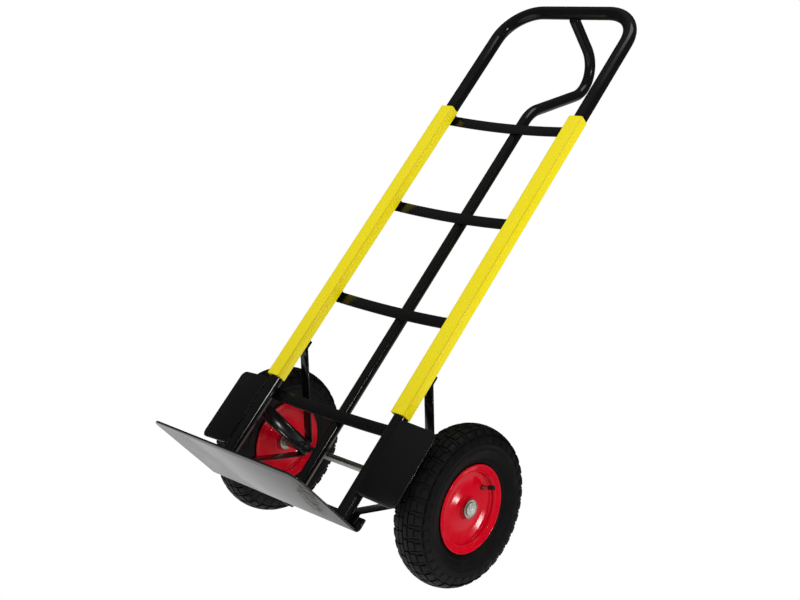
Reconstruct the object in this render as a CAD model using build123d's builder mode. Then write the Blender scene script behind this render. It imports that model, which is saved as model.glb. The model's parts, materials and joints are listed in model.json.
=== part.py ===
"""A steel hand truck: a bent tube frame on a folded toe plate, with a looped centre handle,
plastic glide rails and two pneumatic wheels on one solid axle.

Millimetres, +Z up along the uprights. The origin is on the underside of the toe plate, midway
between the uprights and under their centre lines. The toe plate reaches towards -Y, the wheels
stand behind the frame at +Y, and the right-hand side is +X, as seen from the front.
"""
import os
from math import cos, degrees, radians, sin, sqrt, tan

from build123d import *
from build123d.topology import SkipClean

os.makedirs("parts", exist_ok=True)

# ---- Fits ---------------------------------------------------------------------------------
WELD_GAP = 0.3          # left between round faces that a weld joins
SLIP = 0.1              # radial play of rings and sleeves on the axle
RUNNING = 0.05          # radial play of a bearing on the axle
PRESS = 0.05            # radial play drawn where a pressed part sits in its seat
SIDE_PLAY = 0.3         # between a turning face and the fixed washer beside it

# ---- Toe plate ----------------------------------------------------------------------------
PLATE_W = 418.0         # across
PLATE_FRONT = 188.0     # from the uprights' centre plane to the front edge
PLATE_T = 4.0           # sheet thickness
FLANGE_FRONT = 26.0     # y of the turned-up rear flange's front face
FLANGE_TOP = 30.0       # height of the flange's edge
PLATE_BEND_R = 8.0      # inside radius of the rear bend
PLATE_CORNER_R = 22.0   # front corners, in plan
FLANGE_CORNER_R = 2.0   # ends of the rear flange
LOAD_MARGIN = 1.0       # from the sides and the front edge to the outline of the load area

# ---- Main U tube --------------------------------------------------------------------------
TUBE_R = 15.0           # outside radius
TUBE_WALL = 2.0
UPRIGHT_X = 180.0       # half the distance between the uprights' centre lines
TOP_Z = 1294.0          # centre line of the top bar
TOP_BEND_R = 88.0

# ---- Centre tube with its looped handle ---------------------------------------------------
CENTRE_R = 12.5
CENTRE_WALL = 1.5
CENTRE_FOOT_Z = 4.0     # lower end, just clear of the floor
LOOP_DEPTH = 265.3      # from the top bar down to the corner where the tube turns back
LOOP_SLOPE = 35.0       # degrees from upright, of the stretch that leans back
LOOP_REACH = 162.4      # how far behind the centre tube the loop's rear corner stands
LOOP_DROP = 5.8         # degrees by which the top stretch falls towards the rear
LOOP_LOW_R = 80.0       # bend at the start of the loop
LOOP_REAR_R = 66.0      # rear bend of the loop
LOOP_END_Y = 7.0        # the coped end, under the top bar

# ---- Crossbars ----------------------------------------------------------------------------
BAR_H = 25.0
BAR_T = 4.0
BAR_TOP = 977.5         # upper edge of the highest one
BAR_PITCH = 254.0
BAR_COUNT = 4

# ---- Glide rails over the uprights --------------------------------------------------------
RAIL_BOTTOM = 230.0
RAIL_LENGTH = 750.0
RAIL_HALF_W = 17.5      # half the width, and the depth in front of the tube's centre
RAIL_BACK = 6.0         # y of the two rear edges
RAIL_CORNER_R = 3.0
RAIL_PLAY = 0.25        # between the rail's inside and the tube
FLUTE_R = 0.7           # fine grooves along both side faces
FLUTE_Y = (-13.0, -10.0, -7.0)

# ---- Wheels and axle ----------------------------------------------------------------------
WHEEL_X = 266.5         # centre plane of each tyre
AXLE_Y = 177.0
TYRE_R = 161.5          # also the axle's height, as the tyres stand level with the plate
AXLE_R = 8.0
TYRE_HALF_W = 40.0
TYRE_WIDEST_R = 124.0   # radius at which the sidewall bulges most
SHOULDER_HALF_W = 33.0
SHOULDER_R = 151.0
SHOULDER_ROUND = 5.0
WALL_T = 6.0            # rubber at the sidewall
TREAD_T = 10.0          # rubber at the crown
BEAD_W = 8.0            # across one bead's foot
BEAD_H = 9.0            # height of the bead
BEAD_GAP = 0.3          # tyre and inner tube to the rim and to each other
AIR_TUBE_T = 2.5        # wall of the inner tube

TREAD_PITCHES = 37      # blocks round each row
GROOVE_DEPTH = 3.0      # grooves that run round the tyre
SLOT_DEPTH = 2.6        # slots across a row, between its blocks
# Rows on one side of the crown: start and end, measured along the crown from its middle, and
# the slot between two blocks. The other side is the same, half a pitch further round.
TREAD_ROWS = ((1.0, 9.5, 2.0), (11.0, 23.5, 7.0), (27.5, 39.5, 9.0))

SHEET = 2.0             # rim and disc sheet
RIM_HALF_W = 30.0       # to the outside of the rolled lip
LIP_R = 88.5            # outermost radius of the lip
LIP_ROUND = 1.8         # radius of the rolled lip's section
SEAT_R = 76.0           # bead seat, mid-sheet
SEAT_X = 24.0           # where the seat turns into the flange
WELL_DEPTH = 5.0        # drop centre, below the bead seat
WELL_X = 7.0            # half the width of the drop centre's floor
RIM_BEND_R = 2.5        # bends of the barrel, mid-sheet

DISC_EDGE_X = 23.0      # edge of the disc that is pressed into the barrel
DISC_WEB_X = 14.5       # mid-sheet, where the web meets its edge and its neck
DISC_DEEP_X = 11.5      # mid-sheet, at the deepest ring of the dished web
DISC_DEEP_R = 50.0      # radius of that ring
DISC_DISH_R = 60.0      # bend along it
DISC_BEND_R = 5.0       # bends into the edge and into the neck
NECK_X = 21.5           # end of the neck drawn out along the hub

HUB_R = 18.8
HUB_HALF_W = 27.0
BEARING_R = 17.4
BEARING_W = 11.0
BEARING_INSET = 1.0     # below the hub's end face
HUB_SHOULDER = 1.5      # height of the step that each bearing is pressed against
BEARING_RACE_T = 2.6    # face of each race
SHIELD_DEPTH = 0.6      # of the ring between the races

WASHER_T = 1.7
WASHER_R = 14.0
CAP_R = 13.5
CAP_H = 4.2
CAP_SKIN = 1.2
SPACER_R = 11.0

VALVE_ANGLE = 16.0      # from straight up towards the rear
VALVE_R = 3.8
VALVE_WEB_R = 55.5      # where the stem crosses the disc's web
VALVE_LEAN = 16.0       # degrees by which the stem leans away from the axle as it goes outwards
VALVE_ROOT_X = 2.0      # the stem leaves the rim here, then bends towards the outside
VALVE_STEM_X = 34.0     # end of the metal stem
VALVE_CAP_X = 26.5      # mouth of the dust cap
VALVE_TIP_X = 39.0      # end of the dust cap
VALVE_CAP_R = 4.7
VALVE_BEND_R = 7.0
VALVE_PLAY = 0.6        # around the stem in the rim and the disc

# ---- Axle carriers, struts and wheel guards -----------------------------------------------
BRACKET_T = 5.0
BRACKET_H = 31.0
STRIP_T = 4.0
UPPER_STRUT_W = 22.0
UPPER_STRUT_TOP = 338.0
UPPER_STRUT_BEND_Z = 320.0
LOWER_STRUT_W = 26.0
LOWER_STRUT_BEND_Z = 36.0
STRIP_BEND_R = 6.0

GUARD_T = 3.0
GUARD_IN = 189.0        # inner edge, where it is welded to the upright
GUARD_OUT = 280.0       # outer edge
GUARD_BOTTOM = 58.0
GUARD_TOP = 222.0
GUARD_TILT = 7.8        # degrees by which the outer edge is set back
GUARD_CORNER_R = 14.0

# ---- Worked out from the above ------------------------------------------------------------
AXLE_Z = TYRE_R
LOOP_START_Z = TOP_Z - LOOP_DEPTH
WELL_R = SEAT_R - WELL_DEPTH
CROWN_DROP = TYRE_R - SHOULDER_R
CROWN_ARC_R = (SHOULDER_HALF_W**2 + CROWN_DROP**2) / (2 * CROWN_DROP)
CENTRE_Y = FLANGE_FRONT + PLATE_T + WELD_GAP + CENTRE_R
BAR_BOW_BACK = CENTRE_Y - CENTRE_R - WELD_GAP       # back face at mid-width

WHEEL_CENTRE = Vector(WHEEL_X, AXLE_Y, AXLE_Z)
AXLE_LINE = Axis(WHEEL_CENTRE, (1, 0, 0))
WHEEL_SECTION = Plane(origin=WHEEL_CENTRE, x_dir=(1, 0, 0), z_dir=(0, -1, 0))

# Tyre bead, between the seat and the sloped flange with its rolled lip.
FLANGE_SLOPE = (RIM_HALF_W - LIP_ROUND - SEAT_X) / (LIP_R - LIP_ROUND - SEAT_R)
FLANGE_OFFSET = (LIP_ROUND + BEAD_GAP) * sqrt(1 + FLANGE_SLOPE**2)
BEAD_R = SEAT_R + SHEET / 2 + BEAD_GAP
BEAD_HEEL_X = SEAT_X + FLANGE_SLOPE * (BEAD_R - SEAT_R) - FLANGE_OFFSET
BEAD_TOE_X = BEAD_HEEL_X - BEAD_W
COLLAR_R = LIP_R + 2.5
COLLAR_X = SEAT_X + FLANGE_SLOPE * (COLLAR_R - SEAT_R) - FLANGE_OFFSET

# Valve stem, in the plane through the axle and the stem: (distance outwards, radius).
VALVE_SECTION = Plane(
    origin=WHEEL_CENTRE,
    x_dir=(1, 0, 0),
    z_dir=(0, -cos(radians(VALVE_ANGLE)), sin(radians(VALVE_ANGLE))),
)
VALVE_RISE = tan(radians(VALVE_LEAN))


def valve_point(x):
    """The point of the leaning stem's centre line at a distance outwards from the wheel plane."""
    return VALVE_SECTION.from_local_coords((x, VALVE_WEB_R + VALVE_RISE * (x - DISC_DEEP_X)))


VALVE_FOOT = VALVE_SECTION.from_local_coords((VALVE_ROOT_X, BEAD_R))
VALVE_ELBOW = valve_point(VALVE_ROOT_X)
VALVE_END = valve_point(VALVE_STEM_X)
VALVE_OUT = (VALVE_END - VALVE_ELBOW).normalized()


def save(piece, name):
    """Label a finished piece and write it to its own file."""
    piece.part.label = name
    export_step(piece.part, f"parts/{name}.step")


def save_pair(right_piece, name):
    """Write a right-hand piece, and its mirror image for the left-hand side."""
    save(right_piece, f"right_{name}")
    with BuildPart() as left_piece:
        mirror(right_piece.part, about=Plane.YZ)
    save(left_piece, f"left_{name}")


# ---- Frame --------------------------------------------------------------------------------
def make_toe_plate():
    """Folded sheet: flat toe with rounded front corners and a low turned-up rear flange."""
    flange_back = FLANGE_FRONT + PLATE_T
    with BuildPart() as toe_plate:
        with BuildSketch(Plane.YZ.offset(-PLATE_W / 2)):
            with BuildLine():
                Polyline(
                    (-PLATE_FRONT, 0),
                    (flange_back, 0),
                    (flange_back, FLANGE_TOP),
                    (FLANGE_FRONT, FLANGE_TOP),
                    (FLANGE_FRONT, PLATE_T),
                    (-PLATE_FRONT, PLATE_T),
                    close=True,
                )
            section = make_face()
            outer_corner = section.vertices().group_by(Axis.Y)[0].sort_by(Axis.X)[-1]
            inner_corner = section.vertices().group_by(Axis.Y)[1].sort_by(Axis.X)[-1]
            fillet(outer_corner, radius=PLATE_BEND_R + PLATE_T)
            fillet(inner_corner, radius=PLATE_BEND_R)
        extrude(amount=PLATE_W)
        front_corners = toe_plate.edges().filter_by(Axis.Z).group_by(Axis.Y)[0]
        fillet(front_corners, radius=PLATE_CORNER_R)
        flange_ends = toe_plate.edges().filter_by(Axis.Y).group_by(Axis.Z)[-1]
        fillet(flange_ends, radius=FLANGE_CORNER_R)

    # The load area in front of the rails is joined on uncleaned, so it stays a face of its own.
    depth = PLATE_FRONT - LOAD_MARGIN - RAIL_HALF_W
    with BuildPart() as marked_plate, SkipClean():
        add(toe_plate.part)
        with BuildSketch(Plane.XY.offset(PLATE_T / 2)) as load_area:
            with Locations((0, -RAIL_HALF_W - depth / 2)):
                Rectangle(PLATE_W - 2 * LOAD_MARGIN, depth)
            fillet(load_area.vertices().group_by(Axis.Y)[0], radius=PLATE_CORNER_R - LOAD_MARGIN)
        extrude(amount=PLATE_T / 2)
    save(marked_plate, "toe_plate")


def make_main_frame():
    """One tube: two uprights that stand on the plate and the top bar between them."""
    with BuildPart() as main_frame:
        with BuildLine():
            FilletPolyline(
                (-UPRIGHT_X, 0, PLATE_T),
                (-UPRIGHT_X, 0, TOP_Z),
                (UPRIGHT_X, 0, TOP_Z),
                (UPRIGHT_X, 0, PLATE_T),
                radius=TOP_BEND_R,
            )
        with BuildSketch(Plane(origin=(-UPRIGHT_X, 0, PLATE_T), z_dir=(0, 0, 1))):
            Circle(TUBE_R)
            Circle(TUBE_R - TUBE_WALL, mode=Mode.SUBTRACT)
        sweep()
    save(main_frame, "main_frame")


def make_centre_tube():
    """Tube behind the crossbars, bent at its top into a loop that ends under the top bar."""
    corner_y = CENTRE_Y + LOOP_REACH
    corner_z = LOOP_START_Z + LOOP_REACH / tan(radians(LOOP_SLOPE))
    end_z = corner_z + (corner_y - LOOP_END_Y) * tan(radians(LOOP_DROP))
    with BuildPart() as centre_tube:
        with BuildLine():
            FilletPolyline(
                (0, CENTRE_Y, CENTRE_FOOT_Z),
                (0, CENTRE_Y, LOOP_START_Z),
                (0, corner_y, corner_z),
                (0, LOOP_END_Y, end_z),
                radius=(LOOP_LOW_R, LOOP_REAR_R),
            )
        with BuildSketch(Plane(origin=(0, CENTRE_Y, CENTRE_FOOT_Z), z_dir=(0, 0, 1))):
            Circle(CENTRE_R)
            Circle(CENTRE_R - CENTRE_WALL, mode=Mode.SUBTRACT)
        sweep()
        with BuildSketch(Plane.YZ.offset(-UPRIGHT_X / 2)):
            with Locations((0, TOP_Z)):
                Circle(TUBE_R + WELD_GAP)
        extrude(amount=UPRIGHT_X, mode=Mode.SUBTRACT)
    save(centre_tube, "centre_tube")


def make_crossbars():
    """Flat straps behind the uprights, bowed back until they meet the centre tube."""
    bow_front = BAR_BOW_BACK - BAR_T
    for number in range(BAR_COUNT):
        bottom = BAR_TOP - number * BAR_PITCH - BAR_H
        with BuildPart() as crossbar:
            with BuildSketch(Plane.XY.offset(bottom)):
                with BuildLine():
                    ThreePointArc((-UPRIGHT_X, TUBE_R), (0, bow_front), (UPRIGHT_X, TUBE_R))
                    Line((UPRIGHT_X, TUBE_R), (UPRIGHT_X, TUBE_R + BAR_T))
                    ThreePointArc(
                        (UPRIGHT_X, TUBE_R + BAR_T), (0, BAR_BOW_BACK), (-UPRIGHT_X, TUBE_R + BAR_T)
                    )
                    Line((-UPRIGHT_X, TUBE_R + BAR_T), (-UPRIGHT_X, TUBE_R))
                make_face()
            extrude(amount=BAR_H)
        save(crossbar, f"crossbar_{number + 1}")


def make_glide_rail():
    """Plastic channel snapped over the upright's front, open at the back, with fine flutes."""
    with BuildPart() as glide_rail:
        with BuildSketch(Plane.XY.offset(RAIL_BOTTOM)) as section:
            depth = RAIL_HALF_W + RAIL_BACK
            with Locations((UPRIGHT_X, RAIL_BACK - depth / 2)):
                Rectangle(2 * RAIL_HALF_W, depth)
            fillet(section.vertices().group_by(Axis.Y)[0], radius=RAIL_CORNER_R)
            with Locations((UPRIGHT_X, 0)):
                Circle(TUBE_R + RAIL_PLAY, mode=Mode.SUBTRACT)
            flutes = [(UPRIGHT_X + side * RAIL_HALF_W, y) for side in (-1, 1) for y in FLUTE_Y]
            with Locations(*flutes):
                Circle(FLUTE_R, mode=Mode.SUBTRACT)
        extrude(amount=RAIL_LENGTH)
    save_pair(glide_rail, "glide_rail")


# ---- Axle carriers, struts and wheel guards -----------------------------------------------
def make_bracket():
    """Upright plate from the tube's back to the axle, round-nosed about the axle's hole."""
    with BuildPart() as bracket:
        with BuildSketch(Plane.YZ.offset(UPRIGHT_X - BRACKET_T / 2)):
            length = AXLE_Y - TUBE_R
            with Locations((TUBE_R + length / 2, AXLE_Z)):
                Rectangle(length, BRACKET_H)
            with Locations((AXLE_Y, AXLE_Z)):
                Circle(BRACKET_H / 2)
                Circle(AXLE_R + SLIP, mode=Mode.SUBTRACT)
        extrude(amount=BRACKET_T)
    save_pair(bracket, "axle_bracket")


def make_upper_strut():
    """Bent flat bar: a tab on the upright's back, then down to the bracket's upper edge."""
    tab_y = TUBE_R + STRIP_T / 2
    rise = (UPPER_STRUT_BEND_Z - AXLE_Z - BRACKET_H / 2) / (AXLE_Y - tab_y)
    past_end = AXLE_Y + STRIP_T
    with BuildPart() as upper_strut:
        with BuildSketch(Plane.YZ.offset(UPRIGHT_X - UPPER_STRUT_W / 2)):
            with BuildLine():
                FilletPolyline(
                    (tab_y, UPPER_STRUT_TOP),
                    (tab_y, UPPER_STRUT_BEND_Z),
                    (past_end, UPPER_STRUT_BEND_Z - rise * (past_end - tab_y)),
                    radius=STRIP_BEND_R,
                )
            trace(line_width=STRIP_T)
        extrude(amount=UPPER_STRUT_W)
        split(bisect_by=Plane.XY.offset(AXLE_Z + BRACKET_H / 2), keep=Keep.TOP)
    save_pair(upper_strut, "upper_strut")


def make_lower_strut():
    """Bent flat bar: a tab against the plate's rear flange, then up to the bracket."""
    tab_y = FLANGE_FRONT - STRIP_T / 2
    tab_foot = PLATE_T + PLATE_BEND_R + WELD_GAP
    rise = (AXLE_Z - BRACKET_H / 2 - LOWER_STRUT_BEND_Z) / (AXLE_Y - tab_y)
    past_end = AXLE_Y + STRIP_T
    with BuildPart() as lower_strut:
        with BuildSketch(Plane.YZ.offset(UPRIGHT_X - LOWER_STRUT_W / 2)):
            with BuildLine():
                FilletPolyline(
                    (tab_y, tab_foot),
                    (tab_y, LOWER_STRUT_BEND_Z),
                    (past_end, LOWER_STRUT_BEND_Z + rise * (past_end - tab_y)),
                    radius=STRIP_BEND_R,
                )
            trace(line_width=STRIP_T)
        extrude(amount=LOWER_STRUT_W)
        split(bisect_by=Plane.XY.offset(AXLE_Z - BRACKET_H / 2), keep=Keep.BOTTOM)
    save_pair(lower_strut, "lower_strut")


def make_wheel_guard():
    """Flat plate in front of the wheel, its inner edge on the upright, its outer edge set back."""
    touch_y = -sqrt(TUBE_R**2 - (GUARD_IN - UPRIGHT_X) ** 2)
    tilt = radians(GUARD_TILT)
    width = (GUARD_OUT - GUARD_IN) / cos(tilt)
    height = GUARD_TOP - GUARD_BOTTOM
    back_face = Plane(
        origin=(GUARD_IN, touch_y, GUARD_BOTTOM),
        x_dir=(cos(tilt), sin(tilt), 0),
        z_dir=(sin(tilt), -cos(tilt), 0),
    )
    with BuildPart() as wheel_guard:
        with BuildSketch(back_face):
            with Locations((width / 2, height / 2)):
                RectangleRounded(width, height, GUARD_CORNER_R)
        extrude(amount=GUARD_T)
    save_pair(wheel_guard, "wheel_guard")


# ---- Axle and what holds the wheels on it -------------------------------------------------
def make_ring(inner_r, outer_r, start_x, end_x, name):
    """A plain ring about the axle, between two distances from the wheel's centre plane."""
    with BuildPart() as ring:
        with BuildSketch(WHEEL_SECTION):
            with Locations(((start_x + end_x) / 2, (inner_r + outer_r) / 2)):
                Rectangle(abs(end_x - start_x), outer_r - inner_r)
        revolve(axis=AXLE_LINE)
    save_pair(ring, name)


def make_axle_parts():
    """Solid axle, spacer sleeves inside the wheels, washers, and push-on end caps."""
    bearing_face = HUB_HALF_W - BEARING_INSET
    outer_seat = bearing_face + SIDE_PLAY
    cap_base = outer_seat + WASHER_T
    crown = cap_base + CAP_H
    rim_x = cap_base + CAP_SKIN
    cap_floor = crown - CAP_SKIN
    dome_r = (CAP_R**2 + (crown - rim_x) ** 2) / (2 * (crown - rim_x))
    shoulder_x = crown - dome_r + sqrt(dome_r**2 - (CAP_R / 2) ** 2)
    axle_half = WHEEL_X + cap_floor
    inner_seat = -bearing_face - SIDE_PLAY
    bracket_face = UPRIGHT_X + BRACKET_T / 2 - WHEEL_X
    bore = AXLE_R + SLIP

    with BuildPart() as axle:
        with BuildSketch(Plane.YZ.offset(-axle_half)):
            with Locations((AXLE_Y, AXLE_Z)):
                Circle(AXLE_R)
        extrude(amount=2 * axle_half)
        chamfer(axle.edges().filter_by(GeomType.CIRCLE), length=1)
    save(axle, "axle")

    make_ring(bore, WASHER_R, outer_seat, cap_base, "outer_washer")
    make_ring(bore, WASHER_R, inner_seat - WASHER_T, inner_seat, "inner_washer")
    make_ring(bore, SPACER_R, bracket_face, inner_seat - WASHER_T, "axle_spacer")

    with BuildPart() as axle_cap:
        with BuildSketch(WHEEL_SECTION):
            with BuildLine():
                Polyline((crown, 0), (cap_floor, 0), (cap_floor, bore), (cap_base, bore))
                Polyline((cap_base, bore), (cap_base, CAP_R), (rim_x, CAP_R))
                ThreePointArc((rim_x, CAP_R), (shoulder_x, CAP_R / 2), (crown, 0))
            make_face()
        revolve(axis=AXLE_LINE)
    save_pair(axle_cap, "axle_cap")


# ---- Wheels -------------------------------------------------------------------------------
def draw_carcass(side_x, shoulder_x, shoulder_r, crown_r, foot_x, foot_r):
    """Draw a tyre section's arcs into the current line: sidewall, crown and sidewall."""
    ThreePointArc((foot_x, foot_r), (side_x, TYRE_WIDEST_R), (shoulder_x, shoulder_r))
    ThreePointArc((shoulder_x, shoulder_r), (0, crown_r), (-shoulder_x, shoulder_r))
    ThreePointArc((-shoulder_x, shoulder_r), (-side_x, TYRE_WIDEST_R), (-foot_x, foot_r))


def draw_air_space(inset):
    """Draw the closed outline of the space inside the tyre, set in by a distance all round."""
    foot_x = BEAD_TOE_X - inset
    foot_r = BEAD_R + BEAD_H
    draw_carcass(
        TYRE_HALF_W - WALL_T - inset,
        SHOULDER_HALF_W - WALL_T - inset,
        SHOULDER_R - TREAD_T - inset,
        TYRE_R - TREAD_T - inset,
        foot_x,
        foot_r,
    )
    Polyline((-foot_x, foot_r), (-foot_x, BEAD_R + inset), (foot_x, BEAD_R + inset), (foot_x, foot_r))


def crown_point(distance):
    """Offset, radius and lean of the crown at a distance along it from its middle."""
    lean = distance / CROWN_ARC_R
    return CROWN_ARC_R * sin(lean), TYRE_R - CROWN_ARC_R * (1 - cos(lean)), degrees(lean)


def cut_grooves():
    """Cut the grooves between the tread's rows out of the tyre's section."""
    edges = [edge for start, end, _ in TREAD_ROWS for edge in (start, end)]
    outer_half = [((low + high) / 2, high - low) for low, high in zip(edges[1::2], edges[2::2])]
    middle = [(0, 2 * edges[0])]
    inner_half = [(-place, width) for place, width in outer_half]
    for place, width in middle + outer_half + inner_half:
        x, r, lean = crown_point(place)
        with Locations((x, r)):
            Rectangle(width, 2 * GROOVE_DEPTH, rotation=-lean, mode=Mode.SUBTRACT)


def cut_slots():
    """Cut each row of the tread into blocks."""
    run_out = (TREAD_ROWS[1][0] - TREAD_ROWS[0][1]) / 2
    for side in (-1, 1):
        for start, end, slot in TREAD_ROWS:
            x, r, lean = crown_point(side * (start + end) / 2)
            row = Plane(origin=WHEEL_CENTRE + Vector(x, 0, 0), x_dir=(0, 0, 1), z_dir=(1, 0, 0))
            half_pitch = 90 * (side + 1) / TREAD_PITCHES
            with Locations(row), PolarLocations(r, TREAD_PITCHES, start_angle=half_pitch):
                Box(
                    2 * SLOT_DEPTH,
                    slot,
                    end - start + 2 * run_out,
                    rotation=(0, lean, 0),
                    mode=Mode.SUBTRACT,
                )


def make_tyre():
    """Pneumatic tyre with a block tread, its two beads held between the rim's flanges."""
    with BuildPart() as tyre:
        with BuildSketch(WHEEL_SECTION) as section:
            with BuildLine():
                draw_carcass(
                    TYRE_HALF_W, SHOULDER_HALF_W, SHOULDER_R, TYRE_R, COLLAR_X, COLLAR_R
                )
                Line((-COLLAR_X, COLLAR_R), (-BEAD_HEEL_X, BEAD_R))
                Line((-BEAD_HEEL_X, BEAD_R), (BEAD_HEEL_X, BEAD_R))
                Line((BEAD_HEEL_X, BEAD_R), (COLLAR_X, COLLAR_R))
            make_face()
            fillet(section.vertices().group_by(Axis.Y)[-1], radius=SHOULDER_ROUND)
            cut_grooves()
            with BuildLine():
                draw_air_space(0)
            make_face(mode=Mode.SUBTRACT)
        revolve(axis=AXLE_LINE)
        cut_slots()
    save_pair(tyre, "tyre")


def make_inner_tube():
    """Closed rubber ring that fills the tyre, hollow inside."""
    with BuildPart() as inner_tube:
        with BuildSketch(WHEEL_SECTION):
            with BuildLine():
                draw_air_space(BEAD_GAP)
            make_face()
            with BuildLine():
                draw_air_space(BEAD_GAP + AIR_TUBE_T)
            make_face(mode=Mode.SUBTRACT)
        revolve(axis=AXLE_LINE)
    save_pair(inner_tube, "inner_tube")


def make_rim_barrel():
    """Rolled sheet barrel with a drop centre, sloped flanges and rolled lips."""
    lip = (RIM_HALF_W - LIP_ROUND, LIP_R - LIP_ROUND)
    outer_half = [lip, (SEAT_X, SEAT_R), (WELL_X + RIM_BEND_R, SEAT_R), (WELL_X, WELL_R)]
    inner_half = [(-x, r) for x, r in reversed(outer_half)]
    with BuildPart() as rim_barrel:
        with BuildSketch(WHEEL_SECTION):
            with BuildLine():
                FilletPolyline(*outer_half, *inner_half, radius=RIM_BEND_R)
            trace(line_width=SHEET)
            with Locations(lip, (-lip[0], lip[1])):
                Circle(LIP_ROUND)
        revolve(axis=AXLE_LINE)
        with BuildSketch(Plane(origin=VALVE_FOOT, x_dir=(1, 0, 0), z_dir=VALVE_ELBOW - VALVE_FOOT)):
            Circle(VALVE_R + VALVE_PLAY)
        extrude(amount=BEAD_R - WELL_R + SHEET, mode=Mode.SUBTRACT)
    save_pair(rim_barrel, "rim_barrel")


def make_disc(facing, name):
    """Pressed disc: edge turned out into the barrel, dished web, and a neck along the hub."""
    edge_r = SEAT_R - SHEET / 2 - PRESS - SHEET / 2
    neck_r = HUB_R + PRESS + SHEET / 2
    with BuildPart() as disc:
        with BuildSketch(WHEEL_SECTION):
            with BuildLine():
                FilletPolyline(
                    (facing * DISC_EDGE_X, edge_r),
                    (facing * DISC_WEB_X, edge_r),
                    (facing * DISC_DEEP_X, DISC_DEEP_R),
                    (facing * DISC_WEB_X, neck_r),
                    (facing * NECK_X, neck_r),
                    radius=(DISC_BEND_R, DISC_DISH_R, DISC_BEND_R),
                )
            trace(line_width=SHEET)
        revolve(axis=AXLE_LINE)
        if facing > 0:
            with BuildSketch(Plane(origin=VALVE_ELBOW, z_dir=VALVE_OUT)):
                Circle(VALVE_R + VALVE_PLAY)
            extrude(amount=VALVE_STEM_X, mode=Mode.SUBTRACT)
    save_pair(disc, name)


def make_hub():
    """Hub tube with a seat at each end for its bearing."""
    seat_r = BEARING_R + PRESS
    seat_x = HUB_HALF_W - BEARING_INSET - BEARING_W
    waist_r = seat_r - HUB_SHOULDER
    with BuildPart() as hub:
        with BuildSketch(WHEEL_SECTION):
            with BuildLine():
                Polyline(
                    (-HUB_HALF_W, HUB_R),
                    (HUB_HALF_W, HUB_R),
                    (HUB_HALF_W, seat_r),
                    (seat_x, seat_r),
                    (seat_x, waist_r),
                    (-seat_x, waist_r),
                    (-seat_x, seat_r),
                    (-HUB_HALF_W, seat_r),
                    close=True,
                )
            make_face()
        revolve(axis=AXLE_LINE)
    save_pair(hub, "hub")


def make_bearing(facing, name):
    """Ball bearing as one ring: two race faces with the shields sunk between them."""
    bore = AXLE_R + RUNNING
    face_x = HUB_HALF_W - BEARING_INSET
    inner_race = bore + BEARING_RACE_T
    outer_race = BEARING_R - BEARING_RACE_T
    with BuildPart() as bearing:
        with BuildSketch(WHEEL_SECTION):
            with Locations((facing * (face_x - BEARING_W / 2), (bore + BEARING_R) / 2)):
                Rectangle(BEARING_W, BEARING_R - bore)
            shields = [(facing * (face_x - end * BEARING_W), (inner_race + outer_race) / 2) for end in (0, 1)]
            with Locations(*shields):
                Rectangle(2 * SHIELD_DEPTH, outer_race - inner_race, mode=Mode.SUBTRACT)
        revolve(axis=AXLE_LINE)
    save_pair(bearing, name)


def make_valve():
    """Bent metal valve stem from the inner tube out through the disc, and its dust cap."""
    with BuildPart() as valve_stem:
        with BuildLine():
            FilletPolyline(VALVE_FOOT, VALVE_ELBOW, VALVE_END, radius=VALVE_BEND_R)
        with BuildSketch(Plane(origin=VALVE_FOOT, x_dir=(1, 0, 0), z_dir=VALVE_ELBOW - VALVE_FOOT)):
            Circle(VALVE_R)
        sweep()
    save_pair(valve_stem, "valve_stem")

    mouth = valve_point(VALVE_CAP_X)
    bore_depth = (VALVE_END - mouth).length
    with BuildPart() as valve_cap:
        with BuildSketch(Plane(origin=mouth, z_dir=VALVE_OUT)):
            Circle(VALVE_CAP_R)
        extrude(amount=(valve_point(VALVE_TIP_X) - mouth).length)
        chamfer(valve_cap.faces().sort_by(Axis.X)[-1].edges(), length=VALVE_CAP_R / 4)
        with BuildSketch(Plane(origin=mouth, z_dir=VALVE_OUT)):
            Circle(VALVE_R + SLIP)
        extrude(amount=bore_depth + SLIP, mode=Mode.SUBTRACT)
    save_pair(valve_cap, "valve_cap")


make_toe_plate()
make_main_frame()
make_centre_tube()
make_crossbars()
make_glide_rail()
make_bracket()
make_upper_strut()
make_lower_strut()
make_wheel_guard()
make_axle_parts()
make_tyre()
make_inner_tube()
make_rim_barrel()
make_disc(1, "outer_disc")
make_disc(-1, "inner_disc")
make_hub()
make_bearing(1, "outer_bearing")
make_bearing(-1, "inner_bearing")
make_valve()
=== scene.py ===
# %% [markdown]
# # A hand truck, dressed for the studio
# The solids of this hand truck come ready made: tubes, straps, plates, wheels and axle, all in
# metres and in one frame, with +Z up along the uprights and the toe plate towards -Y. This
# lesson loads them, gives them real paint, plastic, rubber and plated steel, and models what
# solids leave out: rounded sheet edges, weld beads and the block tread of the tyres.

import json
from math import atan2, cos, hypot, pi, radians, sin

import bmesh
import bpy
from mathutils import Matrix, Vector


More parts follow.
